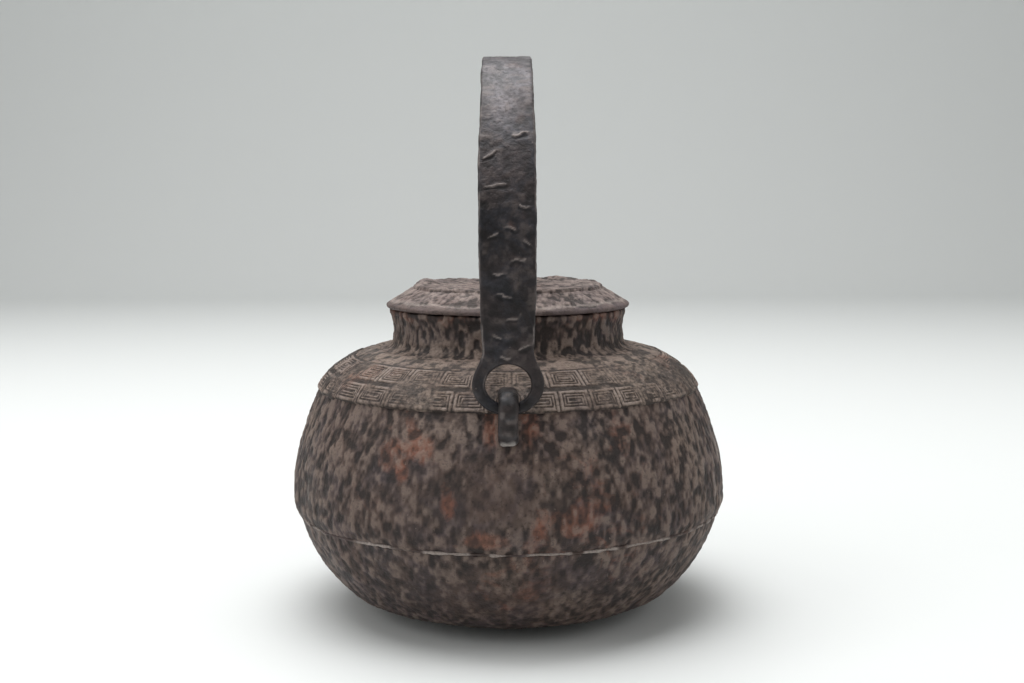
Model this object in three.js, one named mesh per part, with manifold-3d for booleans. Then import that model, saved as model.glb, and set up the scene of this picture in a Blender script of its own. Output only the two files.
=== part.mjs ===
// A tetsubin, the Japanese cast-iron water kettle. Sizes are in millimetres and +Z is up.
// The origin is the middle of the foot, on the table. The spout points to +Y.
// The handle's plane holds the Y axis, and the handle swings about the line through its two eyes.
import * as THREE from "three";
import { mergeVertices } from "three/addons/utils/BufferGeometryUtils.js";
import Module from "manifold-3d";

const wasm = await Module();
wasm.setup();

// Body: a low round casting. Radii and heights of the points where its outline changes.
// The seam and the band's edge are set in from the belly, and the neck and the lip stand on the band's top.
const footRadius = 38;
const heelRadius = 64;
const heelHeight = 8.1;
const bellyRadius = 85.3;
const bellyHeight = 45;
const seamInset = 2.4;
const seamDrop = 6.2;
const seamStandProud = 0.8;
const seamThickness = 0.9;
const bandInset = 10.7;
const bandHeight = 86.9;
const bandRise = 0.8;
const kneeInset = 14.9;
const kneeRise = 12.4;
const bandTopInset = 9.3;
const bandTopRise = 2.9;
const neckRadius = 45;
const neckRise = 7.8;
const lipFlare = 1.4;
const lipRise = 8;
const wall = 3.5;
const seamRadius = bellyRadius - seamInset;
const seamHeight = bellyHeight - seamDrop;
const bandRadius = bellyRadius - bandInset;
const kneeRadius = bandRadius - kneeInset;
const kneeHeight = bandHeight + kneeRise;
const bandTopRadius = kneeRadius - bandTopInset;
const bandTopHeight = kneeHeight + bandTopRise;
const neckHeight = bandTopHeight + neckRise;
const lipRadius = neckRadius + lipFlare;
const mouthHeight = neckHeight + lipRise;

// Clearances: between pieces that touch, and round the handle's eyes, which turn
const seam = 0.3;
const eyeClearance = 0.4;
const lidPlay = 0.6;
const hangPlay = 0.5;

// Lid
const rimOverhang = 1.6;
const rimThickness = 1.9;
const panelRadius = 37.6;
const panelRise = 7.4;
const panelStep = 1.4;
const panelCrown = 0.5;
const lidWall = 3;
const flangeDepth = 5.2;
const flangeWall = 2.6;

// Knob, its petal seat, and the washer that its pin is peened over
const knobRadius = 8.8;
const knobHeight = 16;
const knobFootRadius = 5.2;
const knobWaistRadius = 4.1;
const pinRadius = 2;
const peenRadius = 3.5;
const peenThickness = 1.3;
const seatRadius = 9.8;
const seatThickness = 1.8;
const seatPetals = 8;
const petalDepth = 0.9;
const washerRadius = 7;
const washerThickness = 1.3;

// Handle: one forged strap, with an eye at each end
const strapWidth = 19.8;
const strapThickness = 4;
const strapBevel = 1;
const strapNeckWidth = 18.4;
const archTop = 215.4;
const eyeRise = 10.8;
const eyeWidth = 24.8;
const eyeThickness = 4.4;
const eyeHoleWidth = 15.8;
const eyeHoleHeight = 14;
const eyeFootBar = 3.6;
const eyeFlare = 14;

// Loops: flattened rods, bent to a C and cast into the wall at the back and the front
const rodWidth = 6.9;
const rodDepth = 4.3;
const rodRounding = 2;
const loopSpan = 14.8;
const loopBend = 4.6;
const loopPlay = 0.8;
const legDepth = 4;
const padThickness = 3.2;
const padMargin = 3.2;

// Spout, cast in one with the body
const spoutReach = 27.7;
const spoutRootHeight = 52;
const spoutTipHeight = 103;
const spoutRootRadius = 17.5;
const spoutTipRadius = 8.2;
const spoutRootBore = 13;
const spoutTipBore = 5.2;

// Fineness of the round surfaces
const turns = 48;
const smallTurns = 24;
const bendSteps = 5;

// Materials
const castIron = new THREE.MeshStandardMaterial({ color: 0x4a3a32, roughness: 0.9, metalness: 0.35 });
const lidIron = new THREE.MeshStandardMaterial({ color: 0x4c3d3a, roughness: 0.88, metalness: 0.35 });
const forgedIron = new THREE.MeshStandardMaterial({ color: 0x2f2724, roughness: 0.6, metalness: 0.6 });
const loopIron = new THREE.MeshStandardMaterial({ color: 0x3a3634, roughness: 0.5, metalness: 0.6 });
const knobBronze = new THREE.MeshStandardMaterial({ color: 0x3a2f27, roughness: 0.5, metalness: 0.8 });

// A closed geometry as a solid that can be joined and cut.
function toSolid(geometry) {
  const bare = geometry.index ? geometry.toNonIndexed() : geometry.clone();
  bare.deleteAttribute("normal");
  bare.deleteAttribute("uv");
  const merged = mergeVertices(bare, 1e-4);
  return new wasm.Manifold(
    new wasm.Mesh({
      numProp: 3,
      vertProperties: merged.attributes.position.array,
      triVerts: new Uint32Array(merged.index.array),
    }),
  );
}

// A solid as a geometry, with flat faces.
function toGeometry(solid) {
  const mesh = solid.getMesh();
  const geometry = new THREE.BufferGeometry();
  geometry.setAttribute("position", new THREE.BufferAttribute(mesh.vertProperties, 3));
  geometry.setIndex(new THREE.BufferAttribute(mesh.triVerts, 1));
  const flat = geometry.toNonIndexed();
  flat.computeVertexNormals();
  return flat;
}

// A place on an outline: radius, height, and the direction in degrees in which the outline runs there.
function station(radius, height, direction = 0) {
  const angle = THREE.MathUtils.degToRad(direction);
  return {
    at: new THREE.Vector2(radius, height),
    heading: new THREE.Vector2(Math.cos(angle), Math.sin(angle)),
  };
}

// Points of the smooth curve between two stations, without the first one.
function bend(from, to, steps = bendSteps) {
  const reach = from.at.distanceTo(to.at) / 3;
  const curve = new THREE.CubicBezierCurve(
    from.at,
    from.at.clone().addScaledVector(from.heading, reach),
    to.at.clone().addScaledVector(to.heading, -reach),
    to.at,
  );
  return curve.getPoints(steps).slice(1);
}

// An open outline moved sideways: a positive distance lies to the right of the way it runs, outside the body.
function offset(points, distance) {
  return points.map((point, i) => {
    const before = points[Math.max(i - 1, 0)];
    const after = points[Math.min(i + 1, points.length - 1)];
    const along = after.clone().sub(before).normalize();
    return new THREE.Vector2(point.x + along.y * distance, point.y - along.x * distance);
  });
}

// A solid turned about Z from an outline that starts and ends on the axis.
function turned(profile, segments = turns) {
  return toSolid(new THREE.LatheGeometry(profile, segments).rotateX(Math.PI / 2));
}

// The skin of the body from the foot to the lip, without the band and the seam's fin
const footEdge = station(footRadius, 0, 15);
const heelUnder = station(heelRadius, heelHeight, 28);
const heelOver = station(heelRadius, heelHeight, 40);
const seamUnder = station(seamRadius, seamHeight, 76);
const seamOver = station(seamRadius, seamHeight, 56);
const belly = station(bellyRadius, bellyHeight, 90);
const bandEdge = station(bandRadius, bandHeight, 114.5);
const knee = station(kneeRadius, kneeHeight, 155);
const bandTop = station(bandTopRadius, bandTopHeight, 167);
const neckRoot = station(neckRadius + 0.5, bandTopHeight + 3.6, 96);
const neckWaist = station(neckRadius, neckHeight, 90);
const lipEdge = station(lipRadius, mouthHeight - 1.6, 72);

const underSkin = [footEdge.at, ...bend(footEdge, heelUnder, 2), ...bend(heelOver, seamUnder, 6)];
const upperSkin = [...bend(seamOver, belly, 2), ...bend(belly, bandEdge, 6)];
const bandSkin = [bandEdge.at, ...bend(bandEdge, knee), ...bend(knee, bandTop, 2)];
const neckSkin = [...bend(bandTop, neckRoot, 3), ...bend(neckRoot, neckWaist, 2), ...bend(neckWaist, lipEdge, 2)];
const skin = [...underSkin, ...upperSkin, ...bandSkin.slice(1), ...neckSkin];

// The skin's radius at a height above the belly.
function skinRadiusAt(height) {
  const above = skin.findIndex((point) => point.y > height && point.y > bellyHeight);
  const low = skin[above - 1];
  const high = skin[above];
  return THREE.MathUtils.mapLinear(height, low.y, high.y, low.x, high.x);
}

// A closed body through rings of equal length, with a flat cap at each end.
function loft(rings) {
  const count = rings[0].length;
  const positions = [];
  const triangle = (a, b, c) => positions.push(...a.toArray(), ...b.toArray(), ...c.toArray());
  rings.slice(1).forEach((ring, i) => {
    const last = rings[i];
    for (let j = 0; j < count; j++) {
      const next = (j + 1) % count;
      triangle(last[j], last[next], ring[next]);
      triangle(last[j], ring[next], ring[j]);
    }
  });
  for (let j = 1; j < count - 1; j++) {
    triangle(rings[0][0], rings[0][j + 1], rings[0][j]);
    triangle(rings.at(-1)[0], rings.at(-1)[j], rings.at(-1)[j + 1]);
  }
  const geometry = new THREE.BufferGeometry();
  geometry.setAttribute("position", new THREE.Float32BufferAttribute(positions, 3));
  return geometry;
}

// A section carried along a path in the plane of Y and Z. The section's x lies along X, its y across the path.
function sweep(path, sectionAt) {
  const rings = path.map((point, i) => {
    const before = path[Math.max(i - 1, 0)];
    const after = path[Math.min(i + 1, path.length - 1)];
    const along = after.clone().sub(before).normalize();
    const across = new THREE.Vector3(0, along.y, -along.x);
    return sectionAt(i / (path.length - 1), point).map((corner) =>
      new THREE.Vector3(corner.x, point.x, point.y).addScaledVector(across, corner.y),
    );
  });
  return toSolid(loft(rings));
}

// A flat bar's section: a rectangle with its corners cut.
function bevelledSection(width, thickness, bevel) {
  const x = width / 2;
  const y = thickness / 2;
  return [
    new THREE.Vector2(x, -y + bevel),
    new THREE.Vector2(x, y - bevel),
    new THREE.Vector2(x - bevel, y),
    new THREE.Vector2(-x + bevel, y),
    new THREE.Vector2(-x, y - bevel),
    new THREE.Vector2(-x, -y + bevel),
    new THREE.Vector2(-x + bevel, -y),
    new THREE.Vector2(x - bevel, -y),
  ];
}

// A rod's section: a rectangle with round corners, three points to a corner.
function roundedSection(width, depth, rounding) {
  const points = [];
  const corners = [[1, -1, -90], [1, 1, 0], [-1, 1, 90], [-1, -1, 180]];
  for (const [sideX, sideY, start] of corners)
    for (const turn of [0, 45, 90]) {
      const angle = THREE.MathUtils.degToRad(start + turn);
      points.push(
        new THREE.Vector2(
          sideX * (width / 2 - rounding) + rounding * Math.cos(angle),
          sideY * (depth / 2 - rounding) + rounding * Math.sin(angle),
        ),
      );
    }
  return points;
}

// Where the handle's eyes and the loops lie, worked out from the band that they clear
const eyeOffset = bandRadius + bandRise + eyeClearance + eyeThickness / 2;
const eyeHeight = bandHeight + eyeRise;
const loopTop = eyeHeight - eyeHoleHeight / 2 + hangPlay + rodDepth / 2;
const loopBottom = loopTop - loopSpan;
const loopOffset = eyeOffset + eyeThickness / 2 + loopPlay + rodDepth / 2;
const topLegEnd = skinRadiusAt(loopTop) - legDepth;
const bottomLegEnd = skinRadiusAt(loopBottom) - legDepth;

// The middle line of a loop, from the end of its upper leg to the end of its lower leg.
function loopPath(extraDepth) {
  const path = new THREE.Path();
  path.moveTo(topLegEnd - extraDepth, loopTop);
  path.lineTo(loopOffset - loopBend, loopTop);
  path.absarc(loopOffset - loopBend, loopTop - loopBend, loopBend, Math.PI / 2, 0, true);
  path.lineTo(loopOffset, loopBottom + loopBend);
  path.absarc(loopOffset - loopBend, loopBottom + loopBend, loopBend, 0, -Math.PI / 2, true);
  path.lineTo(bottomLegEnd - extraDepth, loopBottom);
  return path.getPoints(bendSteps);
}

// The front loop as a solid; a margin makes the socket that holds it.
function loopSolid(margin) {
  const section = roundedSection(rodWidth + 2 * margin, rodDepth + 2 * margin, rodRounding + margin);
  return sweep(loopPath(margin), () => section);
}

// A pad inside the wall, behind one leg of the front loop.
function padSolid(height, legEnd) {
  const depth = loopOffset - legEnd;
  return toSolid(
    new THREE.CylinderGeometry(rodWidth / 2 + padMargin, rodWidth / 2 + padMargin, depth + padThickness, 16)
      .translate(0, legEnd + (depth - padThickness) / 2, height),
  );
}

// The spout's middle line, from inside the vessel to the tip, in Y and Z.
const spoutLine = new THREE.CubicBezierCurve(
  new THREE.Vector2(bellyRadius - 13.5, spoutRootHeight),
  new THREE.Vector2(bellyRadius + spoutReach * 0.22, THREE.MathUtils.lerp(spoutRootHeight, spoutTipHeight, 0.12)),
  new THREE.Vector2(bellyRadius + spoutReach * 0.58, THREE.MathUtils.lerp(spoutRootHeight, spoutTipHeight, 0.51)),
  new THREE.Vector2(bellyRadius + spoutReach, spoutTipHeight),
);

// The spout's outside or bore: rings along the middle line, square to it. Overrun carries the bore past the tip.
function spoutSolid(rootRadius, tipRadius, overrun) {
  const steps = 9;
  const rings = [];
  for (let i = 0; i <= steps; i++) {
    const t = i / steps;
    const tangent = spoutLine.getTangent(t);
    const centre = spoutLine.getPoint(t).addScaledVector(tangent, i === steps ? overrun : 0);
    const radius = THREE.MathUtils.lerp(rootRadius, tipRadius, Math.sin((t * Math.PI) / 2));
    const ring = [];
    for (let j = 0; j < smallTurns; j++) {
      const angle = (j / smallTurns) * 2 * Math.PI;
      const side = radius * Math.cos(angle);
      const up = radius * Math.sin(angle);
      ring.push(new THREE.Vector3(side, centre.x - tangent.y * up, centre.y + tangent.x * up));
    }
    rings.push(ring);
  }
  return toSolid(loft(rings.map((ring) => ring.reverse())));
}

// A copy turned half round the Z axis, for what stands at the back as well as at the front.
const halfTurn = (solid) => solid.rotate([0, 0, 180]);

function kettleBody() {
  const fin = [
    new THREE.Vector2(seamRadius + seamStandProud, seamHeight + 0.1),
    new THREE.Vector2(seamRadius + seamStandProud, seamHeight + seamThickness),
  ];
  const outside = turned([
    new THREE.Vector2(0, 0),
    ...underSkin,
    ...fin,
    ...upperSkin,
    ...offset(bandSkin, bandRise),
    ...neckSkin,
    new THREE.Vector2(lipRadius, mouthHeight),
    new THREE.Vector2(0, mouthHeight),
  ]);
  const mouthRadius = lipRadius - wall;
  const cavity = turned([
    new THREE.Vector2(0, wall),
    ...offset(skin, -wall),
    new THREE.Vector2(mouthRadius, mouthHeight + 1),
    new THREE.Vector2(0, mouthHeight + 1),
  ]);
  const pads = padSolid(loopTop, topLegEnd).add(padSolid(loopBottom, bottomLegEnd));
  const hollow = cavity.subtract(pads).subtract(halfTurn(pads));
  const sockets = loopSolid(seam);
  const spout = spoutSolid(spoutRootRadius, spoutTipRadius, 0);
  const bore = spoutSolid(spoutRootBore, spoutTipBore, 2);
  return outside.add(spout).subtract(hollow).subtract(bore).subtract(sockets).subtract(halfTurn(sockets));
}

const lidRest = mouthHeight + seam;
const rimRadius = lipRadius + rimOverhang;
const flangeRadius = neckRadius - wall - lidPlay;
const panelHeight = lidRest + panelRise + panelStep;
const lidUnderside = panelHeight - lidWall;
const holeRadius = pinRadius + seam;

function lid() {
  const inside = flangeRadius - flangeWall;
  return turned([
    new THREE.Vector2(holeRadius, panelHeight + panelCrown),
    new THREE.Vector2(holeRadius, lidUnderside),
    new THREE.Vector2(washerRadius + 1, lidUnderside),
    new THREE.Vector2(panelRadius - lidWall, lidUnderside - panelStep),
    new THREE.Vector2(inside, lidRest),
    new THREE.Vector2(inside, lidRest - flangeDepth),
    new THREE.Vector2(flangeRadius, lidRest - flangeDepth),
    new THREE.Vector2(flangeRadius, lidRest),
    new THREE.Vector2(rimRadius - 0.6, lidRest),
    new THREE.Vector2(rimRadius, lidRest + rimThickness / 3),
    new THREE.Vector2(rimRadius, lidRest + rimThickness * 0.8),
    new THREE.Vector2(rimRadius - 0.7, lidRest + rimThickness),
    new THREE.Vector2(panelRadius, lidRest + panelRise),
    new THREE.Vector2(panelRadius - 0.5, panelHeight),
    new THREE.Vector2(panelRadius / 2, panelHeight + panelCrown),
    new THREE.Vector2(holeRadius, panelHeight + panelCrown),
  ]);
}

const seatHeight = panelHeight + panelCrown + seam;
const knobBase = seatHeight + seatThickness + seam;

function knob() {
  const peenTop = lidUnderside - washerThickness - 2 * seam;
  const waist = station(knobWaistRadius, knobBase + knobHeight * 0.17, 90);
  const shoulder = station(knobRadius, knobBase + knobHeight * 0.55, 92);
  const tip = station(0, knobBase + knobHeight, 150);
  return turned([
    new THREE.Vector2(0, peenTop - peenThickness),
    new THREE.Vector2(peenRadius * 0.7, peenTop - peenThickness),
    new THREE.Vector2(peenRadius, peenTop - peenThickness / 2),
    new THREE.Vector2(peenRadius, peenTop),
    new THREE.Vector2(pinRadius, peenTop),
    new THREE.Vector2(pinRadius, knobBase),
    new THREE.Vector2(knobFootRadius, knobBase),
    new THREE.Vector2(knobFootRadius, knobBase + knobHeight * 0.07),
    waist.at,
    ...bend(waist, shoulder, 5),
    ...bend(shoulder, tip, 5),
  ], smallTurns);
}

// A flat disc with a hole for the pin. Its edge has petals where a depth is given.
function disc(radius, depth, thickness, bottom) {
  const outline = [];
  const steps = 6 * seatPetals;
  for (let i = 0; i < steps; i++) {
    const angle = (i / steps) * 2 * Math.PI;
    const reach = radius - depth * (1 - Math.abs(Math.cos((angle * seatPetals) / 2)));
    outline.push(new THREE.Vector2(reach * Math.cos(angle), reach * Math.sin(angle)));
  }
  const shape = new THREE.Shape(outline);
  shape.holes.push(new THREE.Path().absarc(0, 0, holeRadius, 0, 2 * Math.PI, true));
  const geometry = new THREE.ExtrudeGeometry(shape, { depth: thickness, bevelEnabled: false, curveSegments: 8 });
  return toSolid(geometry.translate(0, 0, bottom));
}

// The handle's middle line in Y and Z: a leg, a half circle and the other leg.
function strapPath() {
  const archHeight = archTop - strapThickness / 2 - eyeOffset;
  const legFoot = eyeHeight + eyeFlare;
  const path = new THREE.Path();
  path.moveTo(eyeOffset, legFoot);
  path.lineTo(eyeOffset, THREE.MathUtils.lerp(legFoot, archHeight, 0.5));
  path.lineTo(eyeOffset, archHeight);
  path.absarc(0, archHeight, eyeOffset, 0, Math.PI, false);
  path.lineTo(-eyeOffset, THREE.MathUtils.lerp(legFoot, archHeight, 0.5));
  path.lineTo(-eyeOffset, legFoot);
  return path.getPoints(18);
}

// The eye at the front: a ring whose outside runs up into the strap.
function eyeSolid() {
  const side = eyeWidth / 2;
  const neck = strapNeckWidth / 2;
  const foot = eyeHoleHeight / 2 + eyeFootBar;
  const shape = new THREE.Shape();
  shape.absellipse(0, 0, side, foot, Math.PI, 2 * Math.PI, false);
  shape.bezierCurveTo(side, eyeFlare * 0.45, neck, eyeFlare * 0.6, neck, eyeFlare + 1);
  shape.lineTo(-neck, eyeFlare + 1);
  shape.bezierCurveTo(-neck, eyeFlare * 0.6, -side, eyeFlare * 0.45, -side, 0);
  const hole = new THREE.Path();
  hole.absellipse(0, 0, eyeHoleWidth / 2, eyeHoleHeight / 2, 0, 2 * Math.PI, true);
  shape.holes.push(hole);
  const bevel = strapBevel * 0.8;
  const geometry = new THREE.ExtrudeGeometry(shape, {
    depth: eyeThickness - 2 * bevel,
    bevelThickness: bevel,
    bevelSize: bevel,
    bevelOffset: -bevel,
    bevelSegments: 1,
    curveSegments: 14,
  });
  geometry.translate(0, 0, bevel - eyeThickness / 2).rotateX(Math.PI / 2);
  return toSolid(geometry.translate(0, eyeOffset, eyeHeight));
}

function handle() {
  const strap = sweep(strapPath(), (t, point) => {
    const above = (point.y - eyeHeight - eyeFlare) / (2 * eyeFlare);
    const width = THREE.MathUtils.lerp(strapNeckWidth, strapWidth, THREE.MathUtils.clamp(above, 0, 1));
    return bevelledSection(width, strapThickness, strapBevel);
  });
  const eye = eyeSolid();
  return strap.add(eye).add(halfTurn(eye));
}

function piece(name, solid, material) {
  const mesh = new THREE.Mesh(toGeometry(solid), material);
  mesh.name = name;
  return mesh;
}

const loop = loopSolid(0);
const washerHeight = lidUnderside - seam - washerThickness;
const vessel = new THREE.Group().add(
  piece("kettle_body", kettleBody(), castIron),
  piece("front_loop", loop, loopIron),
  piece("rear_loop", halfTurn(loop), loopIron),
);
const cover = new THREE.Group().add(
  piece("lid", lid(), lidIron),
  piece("lid_knob", knob(), knobBronze),
  piece("knob_petal_seat", disc(seatRadius, petalDepth, seatThickness, seatHeight), knobBronze),
  piece("knob_inner_washer", disc(washerRadius, 0, washerThickness, washerHeight), knobBronze),
);
const bail = new THREE.Group().add(piece("handle", handle(), forgedIron));

export default new THREE.Group().add(vessel, cover, bail);
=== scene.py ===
import math

import bpy
import numpy as np
from mathutils import Matrix, Vector


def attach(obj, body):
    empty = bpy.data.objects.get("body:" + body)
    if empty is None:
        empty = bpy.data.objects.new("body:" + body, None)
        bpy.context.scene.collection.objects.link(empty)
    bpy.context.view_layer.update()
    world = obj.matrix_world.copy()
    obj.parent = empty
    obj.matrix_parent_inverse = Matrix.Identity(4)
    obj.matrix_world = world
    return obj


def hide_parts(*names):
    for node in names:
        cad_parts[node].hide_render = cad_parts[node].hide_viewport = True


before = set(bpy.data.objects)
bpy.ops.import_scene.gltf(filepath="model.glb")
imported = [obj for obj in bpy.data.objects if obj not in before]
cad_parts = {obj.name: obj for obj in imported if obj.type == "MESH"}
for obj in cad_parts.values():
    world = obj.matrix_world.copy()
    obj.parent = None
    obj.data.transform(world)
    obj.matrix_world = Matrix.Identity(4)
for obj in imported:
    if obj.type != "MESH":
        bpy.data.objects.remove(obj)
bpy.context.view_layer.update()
mm = 0.001
fullTurn = 2 * math.pi
print("frame loaded")


# Numbers for rough surfaces. Places are arrays of x, y and z in millimetres.

def cornerValue(x, y, z, seed):  # a fixed number from -1 to 1 for each whole-number corner of space
    mixed = (x * 374761393 + y * 668265263 + z * 974711 + seed * 144665) & 0xFFFFFFFF
    mixed = ((mixed ^ (mixed >> 13)) * 1274126177) & 0xFFFFFFFF
    return (mixed ^ (mixed >> 16)) / 0x7FFFFFFF - 1


def noise(places, size, seed):  # corners a size apart, blended by 6t^5 - 15t^4 + 10t^3 along each axis
    scaled = places / size
    corner = np.floor(scaled).astype(np.int64)
    t = scaled - corner
    t = t * t * t * (t * (t * 6 - 15) + 10)
    total = np.zeros(places.shape[:-1])
    for dx in (0, 1):
        for dy in (0, 1):
            for dz in (0, 1):
                share = np.abs(1 - dx - t[..., 0]) * np.abs(1 - dy - t[..., 1]) * np.abs(1 - dz - t[..., 2])
                value = cornerValue(corner[..., 0] + dx, corner[..., 1] + dy, corner[..., 2] + dz, seed)
                total += share * value
    return total


def layered(places, size, layers, seed):  # each layer has half the size and half the strength of the last
    return sum(noise(places, size / 2 ** layer, seed + layer) / 2 ** layer for layer in range(layers)) * 0.7


def smoothStep(low, high, value):  # 0 below low, 1 above high, 3t^2 - 2t^3 between
    t = np.clip((value - low) / (high - low), 0, 1)
    return t * t * (3 - 2 * t)


def spots(x, z, places):  # soft ovals: middle across and up, reach across and up, strength
    total = np.zeros(x.shape)
    for middleX, middleZ, reachX, reachZ, strength in places:
        distance = ((x - middleX) / reachX) ** 2 + ((z - middleZ) / reachZ) ** 2
        total = np.maximum(total, strength * np.exp(-distance))
    return total


# Outlines and meshes

def bend(start, leaving, end, arriving, steps=40):  # a cubic curve with its two headings in degrees
    a = np.array(start, float)
    d = np.array(end, float)
    reach = np.linalg.norm(d - a) / 3
    b = a + reach * np.array([math.cos(math.radians(leaving)), math.sin(math.radians(leaving))])
    c = d - reach * np.array([math.cos(math.radians(arriving)), math.sin(math.radians(arriving))])
    t = np.linspace(0, 1, steps)[:, None]
    return (1 - t) ** 3 * a + 3 * (1 - t) ** 2 * t * b + 3 * (1 - t) * t ** 2 * c + t ** 3 * d


def joined(*runs):
    return np.concatenate([np.array(run, float) for run in runs])


def alongLengths(points):
    return np.concatenate([[0], np.cumsum(np.linalg.norm(np.diff(points, axis=0), axis=1))])


def evenly(points, step):  # the same line with points about a step apart
    lengths = alongLengths(points)
    stops = np.linspace(0, lengths[-1], max(2, int(round(lengths[-1] / step)) + 1))
    return np.stack([np.interp(stops, lengths, points[:, i]) for i in range(points.shape[1])], axis=1)


def sideways(points):  # the right-hand side of the way an outline runs
    along = np.gradient(points, axis=0)
    along /= np.linalg.norm(along, axis=1)[:, None]
    return np.stack([along[:, 1], -along[:, 0]], axis=1)


def turnedGrid(outline, columns):  # radius and height carried round Z: x = r cos, y = r sin, z = height
    angle = np.linspace(0, fullTurn, columns, endpoint=False)
    radius = outline[:, 0][:, None]
    height = np.repeat(outline[:, 1][:, None], columns, axis=1)
    return np.stack([radius * np.cos(angle), radius * np.sin(angle), height], axis=2)


def sweptGrid(path, sections):  # a path in Y and Z; each section's x lies along X and its y across the path
    along = np.gradient(path, axis=0)
    along /= np.linalg.norm(along, axis=1)[:, None]
    y = path[:, 0][:, None] + along[:, 1][:, None] * sections[..., 1]
    z = path[:, 1][:, None] - along[:, 0][:, None] * sections[..., 1]
    return np.stack([sections[..., 0], y, z], axis=2)


def roundedBox(width, depth, radius, step):  # a rectangle with round corners, its points a step apart
    turns = np.linspace(0, math.pi / 2, 9)
    corners = []
    for sideX, sideY, start in ((1, -1, -90), (1, 1, 0), (-1, 1, 90), (-1, -1, 180)):
        angle = math.radians(start) + turns
        x = sideX * (width / 2 - radius) + radius * np.cos(angle)
        y = sideY * (depth / 2 - radius) + radius * np.sin(angle)
        corners.append(np.stack([x, y], axis=1))
    line = np.concatenate(corners + [corners[0][:1]])
    return evenly(line, step)[:-1]


def meshPiece(name, grid, body, closedRows=False):
    # Rows of points, each row a closed ring. The rows close on themselves, or each end is closed by a fan.
    rows, columns = grid.shape[:2]
    points = grid.reshape(-1, 3)
    index = np.arange(rows * columns).reshape(rows, columns)
    right = np.roll(index, -1, axis=1)
    if closedRows:
        above = np.roll(index, -1, axis=0)
        faces = [np.stack([index, right, np.roll(above, -1, axis=1), above], axis=2).reshape(-1, 4)]
    else:
        quads = np.stack([index[:-1], right[:-1], right[1:], index[1:]], axis=2).reshape(-1, 4)
        points = np.concatenate([points, [grid[0].mean(axis=0), grid[-1].mean(axis=0)]])
        first = np.full(columns, rows * columns)
        startFan = np.stack([right[0], index[0], first], axis=1)
        endFan = np.stack([index[-1], right[-1], first + 1], axis=1)
        faces = [quads, startFan, endFan]
    sizes = np.concatenate([np.full(len(part), part.shape[1]) for part in faces])
    mesh = bpy.data.meshes.new(name)
    mesh.vertices.add(len(points))
    mesh.vertices.foreach_set("co", (points * mm).ravel())
    mesh.loops.add(int(sizes.sum()))
    mesh.loops.foreach_set("vertex_index", np.concatenate([part.ravel() for part in faces]))
    mesh.polygons.add(len(sizes))
    mesh.polygons.foreach_set("loop_start", np.concatenate([[0], np.cumsum(sizes)[:-1]]))
    mesh.polygons.foreach_set("use_smooth", np.ones(len(sizes), bool))
    mesh.update(calc_edges=True)
    mesh.validate()
    piece = bpy.data.objects.new(name, mesh)
    bpy.context.collection.objects.link(piece)
    if body:
        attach(piece, body)
    return piece


def fused(name, parts, body, voxel, smoothing):  # closed meshes as one even fine skin, slightly rounded
    bpy.ops.object.select_all(action="DESELECT")
    for part in parts:
        part.select_set(True)
    bpy.context.view_layer.objects.active = parts[0]
    bpy.ops.object.join()
    piece = parts[0]
    piece.name = name
    remesh = piece.modifiers.new("remesh", "REMESH")
    remesh.mode = "VOXEL"
    remesh.voxel_size = voxel * mm
    smooth = piece.modifiers.new("smooth", "SMOOTH")
    smooth.factor = 0.5
    smooth.iterations = smoothing
    mesh = bpy.data.meshes.new_from_object(piece.evaluated_get(bpy.context.evaluated_depsgraph_get()))
    piece.modifiers.clear()
    piece.data = mesh
    mesh.name = name
    mesh.polygons.foreach_set("use_smooth", np.ones(len(mesh.polygons), bool))
    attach(piece, body)
    return piece


def weathered(piece, rough, paint, material, slot, node):
    # Moves points along their normals by a height in millimetres and keeps its fine part as "relief".
    # Paints the other marks from the places, gives the piece its finish, and hides the imported part of the
    # node that it stands for.
    mesh = piece.data
    places = np.empty(len(mesh.vertices) * 3)
    mesh.vertices.foreach_get("co", places)
    places = places.reshape(-1, 3)
    normals = np.empty(len(mesh.vertices) * 3)
    mesh.vertex_normals.foreach_get("vector", normals)
    normals = normals.reshape(-1, 3)
    height, relief = rough(places / mm, normals)
    mesh.vertices.foreach_set("co", (places + normals * height[:, None] * mm).ravel())
    marks = {"relief": relief, "rust": 0, "dustAndSheen": 0, "wornAndSheen": 0} | paint(places / mm, normals, relief)
    for key, values in marks.items():
        layer = mesh.attributes.new(key, "FLOAT", "POINT")
        layer.data.foreach_set("value", np.broadcast_to(values, len(places)).astype(np.float32).copy())
    mesh.update()
    mesh.materials.clear()
    mesh.materials.append(material)
    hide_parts(node)
    return piece


# Materials

def linear(hexColour):  # an sRGB hex value as linear red, green, blue and alpha
    channels = [int(hexColour[i:i + 2], 16) / 255 for i in (1, 3, 5)]
    return [c / 12.92 if c <= 0.04045 else ((c + 0.055) / 1.055) ** 2.4 for c in channels] + [1]


def addNode(tree, kind, links=None, **settings):  # a node with its settings and its linked or set inputs
    node = tree.nodes.new("ShaderNode" + kind)
    for key, value in settings.items():
        setattr(node, key, value)
    for key, value in (links or {}).items():
        socket = node.inputs[key]
        if isinstance(value, bpy.types.NodeSocket):
            tree.links.new(value, socket)
        else:
            socket.default_value = value
    return node


def perMetre(size):  # a texture's scale for features of that size in millimetres
    return 1000 / size


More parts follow.
